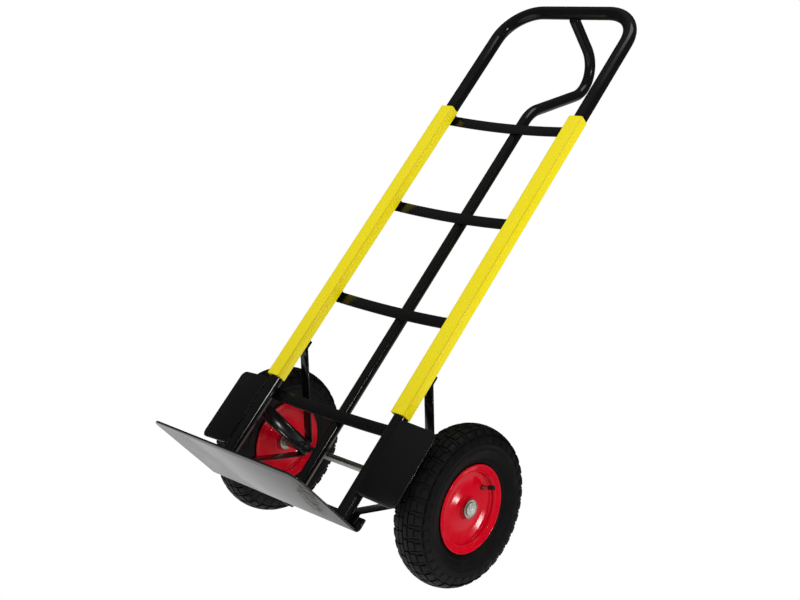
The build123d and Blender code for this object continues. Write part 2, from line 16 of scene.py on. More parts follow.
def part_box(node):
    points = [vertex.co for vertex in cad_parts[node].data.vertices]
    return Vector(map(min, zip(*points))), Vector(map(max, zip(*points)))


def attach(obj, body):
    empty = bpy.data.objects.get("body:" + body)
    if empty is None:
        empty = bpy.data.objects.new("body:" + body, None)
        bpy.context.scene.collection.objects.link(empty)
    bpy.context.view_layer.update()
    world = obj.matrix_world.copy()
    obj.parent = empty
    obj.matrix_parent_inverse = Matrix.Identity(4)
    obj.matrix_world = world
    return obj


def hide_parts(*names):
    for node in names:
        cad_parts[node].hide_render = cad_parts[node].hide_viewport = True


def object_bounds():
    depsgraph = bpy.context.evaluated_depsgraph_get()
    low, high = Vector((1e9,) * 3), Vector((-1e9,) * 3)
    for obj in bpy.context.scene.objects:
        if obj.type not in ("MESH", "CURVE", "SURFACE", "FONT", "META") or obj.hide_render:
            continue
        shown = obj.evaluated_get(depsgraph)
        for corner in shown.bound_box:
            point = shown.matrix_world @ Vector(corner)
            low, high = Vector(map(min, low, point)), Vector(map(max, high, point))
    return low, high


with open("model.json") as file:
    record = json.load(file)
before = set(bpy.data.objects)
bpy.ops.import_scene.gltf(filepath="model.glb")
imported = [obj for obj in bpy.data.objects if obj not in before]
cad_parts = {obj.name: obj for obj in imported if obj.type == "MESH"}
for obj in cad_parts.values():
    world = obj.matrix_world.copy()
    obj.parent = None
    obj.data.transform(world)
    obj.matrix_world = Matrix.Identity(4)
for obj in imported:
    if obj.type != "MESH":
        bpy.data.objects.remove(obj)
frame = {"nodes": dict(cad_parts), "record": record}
cad_low, cad_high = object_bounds()
nodes = frame["nodes"]
MM = 0.001
SIDES = {"left": -1, "right": 1}
print("nodes:", len(nodes), "box:", tuple(round(v, 3) for v in cad_high - cad_low))

# %% [markdown]
# ## Where the camera stands
# The truck leans back on its wheels while its own frame stays upright. Rather than tilt the
# truck, we tilt the studio: `up` is the direction that points at the ceiling, seen from the
# truck's frame. The camera keeps its horizon square to that direction, so its turn and its
# pitch are two plain angles.

# %% Directions of the tilted studio
lean = radians(46.0)
up = Vector((0, -sin(lean), cos(lean)))
back = Vector((0, cos(lean), sin(lean)))
side = Vector((1, 0, 0))
print("up in the truck's frame:", tuple(round(v, 3) for v in up))

# %% Camera
heading = radians(43.85)
pitch = radians(13.9)
aim = Vector((0, 0.008, 0.478))
distance = 2.512

look = (back * cos(heading) - side * sin(heading)) * cos(pitch) - up * sin(pitch)
camera_right = look.cross(up).normalized()
camera_up = camera_right.cross(look)

camera_data = bpy.data.cameras.new("studio_camera")
camera_data.lens = 54.67
camera_data.sensor_width = 36
camera = bpy.data.objects.new("studio_camera", camera_data)
bpy.context.scene.collection.objects.link(camera)
turn = Matrix((camera_right, camera_up, -look)).transposed()
camera.matrix_world = Matrix.Translation(aim - look * distance) @ turn.to_4x4()
bpy.context.scene.camera = camera
bpy.context.scene.view_settings.view_transform = "Standard"
print("camera at", tuple(round(v, 3) for v in camera.location))

# %% [markdown]
# ## Light that suits black gloss
# Gloss paint shows its surroundings more than its own colour. In this room only the ground far
# below the horizon is bright, so the frame stays black and faces that look down turn pale. The
# world therefore has three answers: white for the camera, a gradient for reflections, and a
# slightly dimmer white for the light that fills the shadows.

# %% World
world = bpy.data.worlds.new("studio")
bpy.context.scene.world = world
world.use_nodes = True
tree = world.node_tree
tree.nodes.clear()
direction = tree.nodes.new("ShaderNodeTexCoord")
height = tree.nodes.new("ShaderNodeVectorMath")
height.operation = "DOT_PRODUCT"
height.inputs[1].default_value = up
room = tree.nodes.new("ShaderNodeValToRGB")
room.color_ramp.elements[0].position = 0.24
room.color_ramp.elements[0].color = (0.63, 0.62, 0.61, 1)
room.color_ramp.elements[1].position = 1.0
room.color_ramp.elements[1].color = (0.16, 0.16, 0.16, 1)
for place, grey in ((0.30, 0.22), (0.37, 0.04), (0.80, 0.05)):
    stop = room.color_ramp.elements.new(place)
    stop.color = (grey, grey, grey, 1)
to_ramp = tree.nodes.new("ShaderNodeMapRange")
to_ramp.inputs["From Min"].default_value = -1
rays = tree.nodes.new("ShaderNodeLightPath")
reflected = tree.nodes.new("ShaderNodeBackground")
fill = tree.nodes.new("ShaderNodeBackground")
fill.inputs["Color"].default_value = (1.0, 1.0, 1.0, 1)
fill.inputs["Strength"].default_value = 0.90
plain = tree.nodes.new("ShaderNodeBackground")
plain.inputs["Color"].default_value = (1.0, 1.0, 1.0, 1)
pick_gloss = tree.nodes.new("ShaderNodeMixShader")
pick_camera = tree.nodes.new("ShaderNodeMixShader")
out = tree.nodes.new("ShaderNodeOutputWorld")
link = tree.links.new
link(direction.outputs["Generated"], height.inputs[0])
link(height.outputs["Value"], to_ramp.inputs["Value"])
link(to_ramp.outputs["Result"], room.inputs["Fac"])
link(room.outputs["Color"], reflected.inputs["Color"])
link(rays.outputs["Is Glossy Ray"], pick_gloss.inputs["Fac"])
link(fill.outputs["Background"], pick_gloss.inputs[1])
link(reflected.outputs["Background"], pick_gloss.inputs[2])
link(rays.outputs["Is Camera Ray"], pick_camera.inputs["Fac"])
link(pick_gloss.outputs["Shader"], pick_camera.inputs[1])
link(plain.outputs["Background"], pick_camera.inputs[2])
link(pick_camera.outputs["Shader"], out.inputs["Surface"])
print("world:", len(tree.nodes), "nodes")

# %% [markdown]
# Four square lamps face the truck's middle. A small key lamp on the right draws tight
# highlights on the wheels' discs, and a wider one lights the right-hand sides. A low one in
# front reaches under the plate, and a large one high in front softens the tubes.

# %% Softboxes
def softbox(name, towards, distance, size, power):
    """Hang a square area lamp in a direction from the truck's middle, facing it."""
    lamp = bpy.data.lights.new(name, "AREA")
    lamp.size = size
    lamp.energy = power
    lamp_object = bpy.data.objects.new(name, lamp)
    middle = (cad_low + cad_high) / 2
    towards = towards.normalized()
    lamp_object.location = middle + towards * distance
    lamp_object.rotation_mode = "QUATERNION"
    lamp_object.rotation_quaternion = (-towards).to_track_quat("-Z", "Y")
    bpy.context.scene.collection.objects.link(lamp_object)


softbox("key_softbox", Vector((0.775, 0.629, 0.047)), 3.2, 0.11, 2.6)
softbox("right_softbox", Vector((0.93, -0.30, 0.10)), 3.0, 0.35, 9)
softbox("low_softbox", Vector((0.24, -0.87, -0.43)), 3.0, 0.50, 30)
softbox("high_softbox", Vector((0.35, -0.45, 0.82)), 3.0, 1.5, 14)

# %% [markdown]
# ## The floor
# The truck's frame stands on a plain pale floor. The studio camera looks up from below that
# plane, because the truck leans and the frame doesn't, so the floor lets rays that reach it
# from underneath pass straight through. From above it is matt, carries a soft shadow and fades
# to white away from the truck. Reflections see it as a pale pool that darkens with distance.

# %% Floor
floor_mesh = bpy.data.meshes.new("floor")
bm = bmesh.new()
bmesh.ops.create_grid(bm, x_segments=1, y_segments=1, size=12)
bmesh.ops.translate(bm, verts=bm.verts, vec=(0, 0, cad_low.z - 0.5 * MM))
bm.to_mesh(floor_mesh)
bm.free()
floor = bpy.data.objects.new("floor", floor_mesh)
bpy.context.scene.collection.objects.link(floor)

floor_paint = bpy.data.materials.new("pale_floor")
floor_paint.use_nodes = True
tree = floor_paint.node_tree
tree.nodes.clear()
geometry = tree.nodes.new("ShaderNodeNewGeometry")
rays = tree.nodes.new("ShaderNodeLightPath")
matt = tree.nodes.new("ShaderNodeBsdfDiffuse")
matt.inputs["Color"].default_value = (0.86, 0.86, 0.86, 1)
white = tree.nodes.new("ShaderNodeEmission")
lit = tree.nodes.new("ShaderNodeEmission")
place = tree.nodes.new("ShaderNodeTexCoord")
from_middle = tree.nodes.new("ShaderNodeVectorMath")
from_middle.operation = "LENGTH"
fade = tree.nodes.new("ShaderNodeMapRange")
fade.inputs["From Min"].default_value = 0.4
fade.inputs["From Max"].default_value = 1.1
fade.inputs["To Min"].default_value = 0.8
fade.inputs["To Max"].default_value = 0.07
haze = tree.nodes.new("ShaderNodeMapRange")
haze.inputs["From Min"].default_value = 0.7
haze.inputs["From Max"].default_value = 3.0
haze.inputs["To Min"].default_value = 0.45
haze.inputs["To Max"].default_value = 1.0
lift = tree.nodes.new("ShaderNodeMath")
lift.operation = "MULTIPLY"
clear = tree.nodes.new("ShaderNodeBsdfTransparent")
seen = tree.nodes.new("ShaderNodeMixShader")
mirrored = tree.nodes.new("ShaderNodeMixShader")
one_sided = tree.nodes.new("ShaderNodeMixShader")
out = tree.nodes.new("ShaderNodeOutputMaterial")
link = tree.links.new
link(from_middle.outputs["Value"], haze.inputs["Value"])
link(rays.outputs["Is Camera Ray"], lift.inputs[0])
link(haze.outputs["Result"], lift.inputs[1])
link(lift.outputs["Value"], seen.inputs["Fac"])
link(matt.outputs["BSDF"], seen.inputs[1])
link(white.outputs["Emission"], seen.inputs[2])
link(rays.outputs["Is Glossy Ray"], mirrored.inputs["Fac"])
link(seen.outputs["Shader"], mirrored.inputs[1])
link(place.outputs["Object"], from_middle.inputs[0])
link(from_middle.outputs["Value"], fade.inputs["Value"])
link(fade.outputs["Result"], lit.inputs["Strength"])
link(lit.outputs["Emission"], mirrored.inputs[2])
link(geometry.outputs["Backfacing"], one_sided.inputs["Fac"])
link(mirrored.outputs["Shader"], one_sided.inputs[1])
link(clear.outputs["BSDF"], one_sided.inputs[2])
link(one_sided.outputs["Shader"], out.inputs["Surface"])
floor_mesh.materials.append(floor_paint)
print("floor at", round(cad_low.z, 4))


# %% [markdown]
# ## Finishes
# Every finish starts from one Principled shader. Its colour, roughness and bump come from
# noise on Object coordinates, so a pattern has its real size in metres and sticks to the part.
# A few helpers keep each recipe short: one starts a material, one adds a noise, one turns a
# noise into a range of values, and one feeds a noise to the bump.

# %% Material helpers
def start_finish(name, roughness, metallic=0.0):
    """A new material with one Principled shader and Object coordinates."""
    finish = bpy.data.materials.new(name)
    finish.use_nodes = True
    shader = finish.node_tree.nodes["Principled BSDF"]
    shader.inputs["Roughness"].default_value = roughness
    shader.inputs["Metallic"].default_value = metallic
    place = finish.node_tree.nodes.new("ShaderNodeTexCoord")
    return finish, shader, place


def add_noise(finish, place, grain, detail=3.0, stretch=(1, 1, 1)):
    """Noise whose grain is a size in metres, stretched along the axes if asked."""
    nodes_ = finish.node_tree.nodes
    mapping = nodes_.new("ShaderNodeMapping")
    mapping.inputs["Scale"].default_value = [1 / (grain * s) for s in stretch]
    noise = nodes_.new("ShaderNodeTexNoise")
    noise.inputs["Scale"].default_value = 1.0
    noise.inputs["Detail"].default_value = detail
    finish.node_tree.links.new(place.outputs["Object"], mapping.inputs["Vector"])
    finish.node_tree.links.new(mapping.outputs["Vector"], noise.inputs["Vector"])
    return noise.outputs["Fac"]


def spread(finish, value, low, high, start=0.3, end=0.7):
    """Turn a noise's values between start and end into a range from low to high."""
    ranged = finish.node_tree.nodes.new("ShaderNodeMapRange")
    ranged.inputs["From Min"].default_value = start
    ranged.inputs["From Max"].default_value = end
    ranged.inputs["To Min"].default_value = low
    ranged.inputs["To Max"].default_value = high
    finish.node_tree.links.new(value, ranged.inputs["Value"])
    return ranged.outputs["Result"]


def blend_colours(finish, factor, first, second):
    """Mix two colours by a factor from 0 to 1."""
    mix = finish.node_tree.nodes.new("ShaderNodeMix")
    mix.data_type = "RGBA"
    for socket, colour in (("A", first), ("B", second)):
        target = next(i for i in mix.inputs if i.name == socket and i.type == "RGBA")
        if isinstance(colour, bpy.types.NodeSocket):
            finish.node_tree.links.new(colour, target)
        else:
            target.default_value = (*colour, 1)
    finish.node_tree.links.new(factor, mix.inputs["Factor"])
    return next(o for o in mix.outputs if o.type == "RGBA")


def add_bump(finish, shader, value, depth, strength=1.0):
    """Raise the surface by a depth in metres where the value is high."""
    bump = finish.node_tree.nodes.new("ShaderNodeBump")
    bump.inputs["Distance"].default_value = depth
    bump.inputs["Strength"].default_value = strength
    links = finish.node_tree.links
    links.new(value, bump.inputs["Height"])
    if shader.inputs["Normal"].is_linked:
        links.new(shader.inputs["Normal"].links[0].from_socket, bump.inputs["Normal"])
    links.new(bump.outputs["Normal"], shader.inputs["Normal"])


print("helpers ready")


# %% [markdown]
# ### Black enamel
# The frame is dipped or sprayed in a glossy black enamel. Up close such paint has a very
# faint orange peel a few millimetres across, duller patches where hands have rubbed it, and a
# few pale specks of dust. The colour itself hardly changes.

# %% Black enamel
def make_black_enamel():
    """Glossy black paint with orange peel, dulled patches and dust."""
    finish, shader, place = start_finish("black_enamel", 0.12)
    patches = add_noise(finish, place, 0.11, 4)
    peel = add_noise(finish, place, 0.006, 2)
    dust = add_noise(finish, place, 0.0032, 5)
    specks = spread(finish, dust, 0.0, 0.5, 0.70, 0.82)
    shade = blend_colours(finish, patches, (0.0030, 0.0031, 0.0033), (0.0052, 0.0052, 0.0054))
    dusty = blend_colours(finish, specks, shade, (0.02, 0.02, 0.019))
    finish.node_tree.links.new(dusty, shader.inputs["Base Color"])
    finish.node_tree.links.new(spread(finish, patches, 0.07, 0.19), shader.inputs["Roughness"])
    add_bump(finish, shader, peel, 0.00001, 0.06)
    shader.inputs["IOR"].default_value = 1.5
    return finish


black_enamel = make_black_enamel()
print(black_enamel.name)


# %% [markdown]
# The toe plate is slid under loads, so its paint is worn. Scuffs run from front to back, which
# a noise stretched along Y gives, and one patch near the right-hand side is painted brownish and
# rougher. A Mapping node squeezes the distance from that patch's middle into a long oval, and
# noise breaks up its edge.

# %% Worn enamel
def make_worn_enamel():
    """The black enamel with fine scuffs and one brownish, rougher patch on the right-hand side."""
    finish, shader, place = start_finish("worn_enamel", 0.14)
    links = finish.node_tree.links
    patches = add_noise(finish, place, 0.11, 4)
    scuffs = add_noise(finish, place, 0.0016, 4, (1, 14, 1))
    blotches = add_noise(finish, place, 0.014, 6)
    mapping = finish.node_tree.nodes.new("ShaderNodeMapping")
    mapping.vector_type = "TEXTURE"
    mapping.inputs["Location"].default_value = (0.178, -0.100, 0)
    mapping.inputs["Rotation"].default_value = (0, 0, radians(27))
    mapping.inputs["Scale"].default_value = (0.036, 0.125, 0.05)
    reach = finish.node_tree.nodes.new("ShaderNodeVectorMath")
    reach.operation = "LENGTH"
    links.new(place.outputs["Object"], mapping.inputs["Vector"])
    links.new(mapping.outputs["Vector"], reach.inputs[0])
    near = spread(finish, reach.outputs["Value"], 1.0, 0.0, 0.35, 1.0)
    broken = finish.node_tree.nodes.new("ShaderNodeMath")
    broken.operation = "MULTIPLY"
    links.new(near, broken.inputs[0])
    links.new(spread(finish, blotches, 0.25, 1.0, 0.42, 0.60), broken.inputs[1])
    shade = blend_colours(finish, patches, (0.0030, 0.0031, 0.0033), (0.0056, 0.0055, 0.0056))
    scratches = spread(finish, scuffs, 0.0, 0.5, 0.62, 0.80)
    scuffed = blend_colours(finish, scratches, shade, (0.03, 0.03, 0.03))
    # An oval patch on the right-hand side is painted brownish and made rougher.
    brown_patched = blend_colours(finish, broken.outputs["Value"], scuffed, (0.050, 0.034, 0.020))
    links.new(brown_patched, shader.inputs["Base Color"])
    rough = finish.node_tree.nodes.new("ShaderNodeMath")
    rough.operation = "ADD"
    links.new(spread(finish, patches, 0.10, 0.20), rough.inputs[0])
    links.new(spread(finish, broken.outputs["Value"], 0.0, 0.45, 0.0, 1.0), rough.inputs[1])
    links.new(rough.outputs["Value"], shader.inputs["Roughness"])
    add_bump(finish, shader, scuffs, 0.00001, 0.2)
    shader.inputs["IOR"].default_value = 1.5
    return finish


worn_enamel = make_worn_enamel()
print(worn_enamel.name)


# %% [markdown]
# ### Red enamel
# The rims are pressed sheet sprayed a deep, slightly cool red. The gloss is high, and the paint
# pools a little, so a broad soft noise tilts the surface by a hair and makes the highlights
# wander.

# %% Red enamel
def make_red_enamel():
    """Deep glossy red with soft waves and fine peel."""
    finish, shader, place = start_finish("red_enamel", 0.1)
    waves = add_noise(finish, place, 0.02, 2)
    peel = add_noise(finish, place, 0.004, 2)
    shade = blend_colours(finish, waves, (0.58, 0.0003, 0.0115), (0.66, 0.0005, 0.0150))
    finish.node_tree.links.new(shade, shader.inputs["Base Color"])
    finish.node_tree.links.new(spread(finish, waves, 0.08, 0.14), shader.inputs["Roughness"])
    add_bump(finish, shader, peel, 0.00001, 0.2)
    add_bump(finish, shader, waves, 0.00008, 0.4)
    shader.inputs["Specular IOR Level"].default_value = 0.30
    return finish


red_enamel = make_red_enamel()
print(red_enamel.name)


# %% [markdown]
# ### Yellow plastic
# The glide rails are extruded plastic in a strong yellow. Extrusion leaves very fine lines
# along the length, so one noise is stretched a hundredfold along Z. The shade of a thin groove
# on each front corner is painted as a darker line: there the distances from the rail's middle
# plane and from its tube's centre add up to more than anywhere else, which makes an easy mask.

# %% Yellow plastic
def make_yellow_plastic():
    """Glossy extruded plastic with drawn lines along its length."""
    finish, shader, place = start_finish("yellow_plastic", 0.25)
    drawn = add_noise(finish, place, 0.0011, 2, (1, 1, 120))
    scuffs = add_noise(finish, place, 0.03, 5, (1, 1, 4))
    links = finish.node_tree.links
    nodes_ = finish.node_tree.nodes
    parts = nodes_.new("ShaderNodeSeparateXYZ")
    links.new(place.outputs["Object"], parts.inputs["Vector"])
    low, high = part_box("right_glide_rail")
    sums = []
    for operation, first, second in (
        ("ABSOLUTE", parts.outputs["X"], 0.0), ("SUBTRACT", None, (low.x + high.x) / 2),
        ("ABSOLUTE", None, 0.0), ("SUBTRACT", None, parts.outputs["Y"]),
    ):
        step = nodes_.new("ShaderNodeMath")
        step.operation = operation
        links.new(first or sums[-1], step.inputs[0])
        if isinstance(second, float):
            step.inputs[1].default_value = second
        else:
            links.new(second, step.inputs[1])
        sums.append(step.outputs["Value"])
    half = (high.x - low.x) / 2
    # Painted shade: the darker line on each front corner stands for the shade of a thin groove.
    groove_shade_mask = spread(finish, sums[-1], 0.0, 1.0, 2 * half - 2.9 * MM, 2 * half - 2.0 * MM)
    shade = blend_colours(finish, scuffs, (0.89, 0.745, 0.004), (0.91, 0.77, 0.005))
    groove_shaded_colour = blend_colours(finish, groove_shade_mask, shade, (0.70, 0.56, 0.003))
    links.new(groove_shaded_colour, shader.inputs["Base Color"])
    links.new(spread(finish, scuffs, 0.23, 0.28), shader.inputs["Roughness"])
    add_bump(finish, shader, drawn, 0.00001, 0.03)
    shader.inputs["Specular IOR Level"].default_value = 0.38
    return finish


yellow_plastic = make_yellow_plastic()
print(yellow_plastic.name)


# %% [markdown]
# ### Zinc plate, ground steel and the polished cap
# Zinc plate is a grey metal with a soft, cloudy sheen. Ground steel and the cap are given only
# part of a metal's mirror: the rest is plain pale colour, as fine scratches give, so that they
# stay light where there is nothing bright to reflect. The cap is the brightest of them.

# %% Metals
def make_metal(name, dark, light, smooth, dull, grain, metallic=1.0):
    """Bare or plated metal whose colour and sheen vary with one noise."""
    finish, shader, place = start_finish(name, smooth, metallic)
    clouds = add_noise(finish, place, grain, 4)
    fine = add_noise(finish, place, grain / 12, 2)
    shade = blend_colours(finish, clouds, dark, light)
    finish.node_tree.links.new(shade, shader.inputs["Base Color"])
    finish.node_tree.links.new(spread(finish, clouds, smooth, dull), shader.inputs["Roughness"])
    add_bump(finish, shader, fine, 0.00001, 0.2)
    return finish


zinc_plate = make_metal("zinc_plate", (0.26, 0.29, 0.27), (0.38, 0.41, 0.38), 0.22, 0.36, 0.009)
ground_steel = make_metal(
    "ground_steel", (0.60, 0.58, 0.47), (0.74, 0.72, 0.60), 0.34, 0.50, 0.003, 0.5
)
polished_cap = make_metal(
    "polished_cap", (0.70, 0.71, 0.66), (0.86, 0.87, 0.81), 0.12, 0.24, 0.003, 0.6
)
valve_brass = make_metal("valve_brass", (0.34, 0.28, 0.16), (0.55, 0.48, 0.32), 0.22, 0.38, 0.003)
print("metals ready")


# %% [markdown]
# ### Rubber and the dust cap
# Tyre rubber is a dull charcoal. Its mould leaves rings round the axle, so the sidewall bump
# follows the distance from the axle: the shader measures that distance from the Y and Z of
# Object coordinates. Dust settles in patches and greys the tread.

# %% Rubber
def make_tyre_rubber():
    """Charcoal rubber with moulded rings round the axle and a little dust."""
    finish, shader, place = start_finish("tyre_rubber", 0.6)
    links = finish.node_tree.links
    nodes_ = finish.node_tree.nodes
    low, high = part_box("right_tyre")
    centre = (low + high) / 2
    mapping = nodes_.new("ShaderNodeMapping")
    mapping.inputs["Location"].default_value = (0, -centre.y, -centre.z)
    mapping.inputs["Scale"].default_value = (0, 1, 1)
    radius = nodes_.new("ShaderNodeVectorMath")
    radius.operation = "LENGTH"
    rings = nodes_.new("ShaderNodeMath")
    rings.operation = "PINGPONG"
    rings.inputs[1].default_value = 0.0009
    links.new(place.outputs["Object"], mapping.inputs["Vector"])
    links.new(mapping.outputs["Vector"], radius.inputs[0])
    links.new(radius.outputs["Value"], rings.inputs[0])
    grain = add_noise(finish, place, 0.0012, 4)
    dust = add_noise(finish, place, 0.035, 6)
    dusty = spread(finish, dust, 0.0, 1.0, 0.45, 0.75)
    shade = blend_colours(finish, dusty, (0.0030, 0.0029, 0.0028), (0.0060, 0.0058, 0.0055))
    links.new(shade, shader.inputs["Base Color"])
    links.new(spread(finish, dust, 0.46, 0.66), shader.inputs["Roughness"])
    add_bump(finish, shader, grain, 0.00012, 0.5)
    add_bump(finish, shader, rings.outputs["Value"], 0.00012, 0.5)
    shader.inputs["Specular IOR Level"].default_value = 0.20
    return finish


def make_plain_rubber(name, colour, roughness, grain):
    """Moulded black rubber or plastic with a fine, even grain."""
    finish, shader, place = start_finish(name, roughness)
    skin = add_noise(finish, place, grain, 3)
    lighter = [c * 1.8 for c in colour]
    links = finish.node_tree.links
    links.new(blend_colours(finish, skin, colour, lighter), shader.inputs["Base Color"])
    links.new(spread(finish, skin, roughness - 0.08, roughness + 0.08), shader.inputs["Roughness"])
    add_bump(finish, shader, skin, grain / 12, 0.4)
    return finish


tyre_rubber = make_tyre_rubber()
tube_rubber = make_plain_rubber("tube_rubber", (0.012, 0.012, 0.012), 0.5, 0.001)
cap_plastic = make_plain_rubber("cap_plastic", (0.006, 0.006, 0.006), 0.35, 0.0006)
print("rubber ready")

# %% [markdown]
# ## Painting the solids
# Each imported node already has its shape, so its material slot is all that changes. The record
# names one finish for each node, and this table turns those names into our materials.

# %% Assign the finishes
finishes = {
    "black_paint": black_enamel,
    "red_paint": red_enamel,
    "yellow_plastic": yellow_plastic,
    "zinc": zinc_plate,
    "bearing_steel": ground_steel,
    "cap_chrome": polished_cap,
    "valve_brass": valve_brass,
    "tyre_rubber": tyre_rubber,
    "tube_rubber": tube_rubber,
    "cap_plastic": cap_plastic,
}
slot_of = {s["node"]: s["material_slot"] for s in frame["record"]["subparts"]}
body_of = {n: b for b, ns in frame["record"]["behaviour"]["bodies"].items() for n in ns}
for name, node in nodes.items():
    for slot in node.material_slots:
        slot.material = finishes[slot_of[name]]
print("painted", len(nodes), "nodes")


# %% [markdown]
# ## Rounded sheet edges
# Real plate is never knife sharp: shearing and paint round every edge by a few tenths of a
# millimetre, and that thin line of light is what makes steel look like steel. We take a copy of
# each plate's solid, merge its loose triangles, melt the flat ones together, and bevel the
# edges that turn sharply.

# %% Helpers for new pieces
def finish_piece(bm, name, body, slot, replaced=(), smooth_angle=35):
    """Turn a bmesh into a piece that rides on a body and takes a finish from the record."""
    bmesh.ops.recalc_face_normals(bm, faces=bm.faces)
    mesh = bpy.data.meshes.new(name)
    bm.to_mesh(mesh)
    bm.free()
    mesh.polygons.foreach_set("use_smooth", [True] * len(mesh.polygons))
    mesh.set_sharp_from_angle(angle=radians(smooth_angle))
    mesh.materials.append(finishes[slot])
    piece = bpy.data.objects.new(name, mesh)
    bpy.context.scene.collection.objects.link(piece)
    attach(piece, body)
    if replaced:
        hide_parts(*replaced)
    return piece


def round_edges(bm, edges, size, segments=2, clamp=False):
    """Bevel edges and return the faces that this makes."""
    return bmesh.ops.bevel(
        bm, geom=edges, offset=size, segments=segments, profile=0.5, affect="EDGES",
        clamp_overlap=clamp, material=-1,
    )["faces"]


def soften(node, width, keep=lambda edge: True):
    """Replace a flat solid by a copy of itself whose sharp edges are rounded."""
    bm = bmesh.new()
    bm.from_mesh(nodes[node].data)
    bmesh.ops.remove_doubles(bm, verts=bm.verts, dist=0.002 * MM)
    bmesh.ops.dissolve_limit(bm, angle_limit=radians(0.5), verts=bm.verts, edges=bm.edges)
    sharp = [e for e in bm.edges if e.calc_face_angle(0) > radians(40) and keep(e)]
    round_edges(bm, sharp, width, clamp=True)
    bmesh.ops.recalc_face_normals(bm, faces=bm.faces)
    return finish_piece(bm, f"{node}_sheet", body_of[node], slot_of[node], (node,))


# %% Soften plates and straps
flat_nodes = ["toe_plate"] + [f"crossbar_{n}" for n in range(1, 5)]
for hand in SIDES:
    for part in ("wheel_guard", "upper_strut", "lower_strut", "axle_bracket"):
        flat_nodes.append(f"{hand}_{part}")
for node in flat_nodes:
    sheet = soften(node, 0.5 * MM)
    if node == "toe_plate":
        sheet.material_slots[0].material = worn_enamel
print("softened", len(flat_nodes), "plates and straps")


# %% Soften the rails' ends
def at_an_end(edge):
    """True for an edge that lies in the rail's top or bottom face."""
    low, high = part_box("right_glide_rail")
    heights = [v.co.z for v in edge.verts]
    return max(heights) < low.z + 0.01 * MM or min(heights) > high.z - 0.01 * MM


for hand in SIDES:
    soften(f"{hand}_glide_rail", 0.4 * MM, at_an_end)
print("rails softened")


# %% [markdown]
# ## Tyres
# A pneumatic tyre is a carcass that curves from bead to bead, with rubber blocks standing on
# its crown. Cutting the tread out of a ring would need a very dense mesh. Instead we draw the
# tyre's outer skin once as a line, spin a slightly smaller carcass, and stand bevelled blocks
# on it that reach up to the skin. `skin_point` gives any place on that line by its distance
# from the crown's middle, and its depth under the skin, so a row of blocks bends over the
# shoulder by itself.

# %% Sizes of the tyre
tyre_low, tyre_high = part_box("right_tyre")
rim_low, rim_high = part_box("right_rim_barrel")
axle_y = (tyre_low.y + tyre_high.y) / 2
axle_z = (tyre_low.z + tyre_high.z) / 2
tyre_r = (tyre_high.z - tyre_low.z) / 2
tyre_half = (tyre_high.x - tyre_low.x) / 2
wheel_x = (tyre_high.x + tyre_low.x) / 2
hub = Vector((0, axle_y, axle_z))
lip_r = (rim_high.z - rim_low.z) / 2
groove = 3.0 * MM
shoulder = Vector((33 * MM, tyre_r - 10.5 * MM))
widest = Vector((tyre_half, tyre_r - 37.5 * MM))
collar = Vector((27.6 * MM, lip_r + 2.5 * MM))
heel = Vector((22.2 * MM, lip_r - 11 * MM))
print("tyre radius", round(tyre_r, 4), "half width", round(tyre_half, 4))


# %% The tyre's skin as a line
def arc_points(a, b, c, count):
    """Evenly spaced points from a to c along the circle that also passes b."""
    turn_ab, turn_bc, gap = b - a, c - b, (c - a) / 2
    cross = turn_ab.x * turn_bc.y - turn_ab.y * turn_bc.x
    reach = (gap.x * turn_bc.x + gap.y * turn_bc.y) / cross
    centre = (a + b) / 2 + Vector((-turn_ab.y, turn_ab.x)) * reach
    start = atan2(a.y - centre.y, a.x - centre.x)
    end = atan2(c.y - centre.y, c.x - centre.x)
    radius = (a - centre).length
    turns = [start + (end - start) * i / count for i in range(count + 1)]
    return [centre + Vector((cos(t), sin(t))) * radius for t in turns]


mirrored_shoulder = Vector((-shoulder.x, shoulder.y))
crown = arc_points(mirrored_shoulder, Vector((0, tyre_r)), shoulder, 96)[48:]
wall = arc_points(shoulder, widest, collar, 96)
# This many points on each side of the shoulder's corner give way to a short curve.
CORNER = 4
turn_in = []
for t in (0.25, 0.5, 0.75):
    before, after = crown[-CORNER].lerp(shoulder, t), shoulder.lerp(wall[CORNER], t)
    turn_in.append(before.lerp(after, t))
skin_line = crown[:-CORNER] + turn_in + wall[CORNER:]
print("skin points:", len(skin_line))


# %% Places on the skin
def skin_point(distance, depth=0.0):
    """Point of the section at a distance from the crown's middle, sunk by a depth."""
    mirror, left = (-1 if distance < 0 else 1), abs(distance)
    for a, b in zip(skin_line, skin_line[1:]):
        step = (b - a).length
        if left <= step or b is skin_line[-1]:
            break
        left -= step
    outwards = Vector((a.y - b.y, b.x - a.x)).normalized()
    spot = a.lerp(b, left / step) - outwards * depth
    return Vector((mirror * spot.x, spot.y))


skin_length = sum((b - a).length for a, b in zip(skin_line, skin_line[1:]))
print("half of the skin is", round(skin_length, 4), "long")


# %% Spin helpers about the axle
def section_point(spot):
    """A point of the section, offset and radius, in space above the axle."""
    return Vector((spot[0], axle_y, axle_z + spot[1]))


def spin_section(bm, outline, steps):
    """Draw a closed outline and spin it once round the axle."""
    verts = [bm.verts.new(section_point(p)) for p in outline]
    edges = [bm.edges.new((a, b)) for a, b in zip(verts, verts[1:] + verts[:1])]
    bmesh.ops.spin(
        bm, geom=verts + edges, cent=hub, axis=(1, 0, 0), dvec=(0, 0, 0), angle=2 * pi,
        steps=steps, use_merge=True, use_duplicate=False,
    )
    bmesh.ops.remove_doubles(bm, verts=bm.verts, dist=0.001 * MM)
    bmesh.ops.recalc_face_normals(bm, faces=bm.faces)


def repeat_round(bm, verts, count):
    """Copy one loose block evenly round the axle, and return how many faces it has."""
    edges = list({e for v in verts for e in v.link_edges})
    faces = list({f for v in verts for f in v.link_faces})
    bmesh.ops.spin(
        bm, geom=list(verts) + edges + faces, cent=hub, axis=(1, 0, 0), dvec=(0, 0, 0),
        angle=2 * pi * (count - 1) / count, steps=count - 1, use_merge=False, use_duplicate=True,
    )
    return len(faces)


print("spin ready")

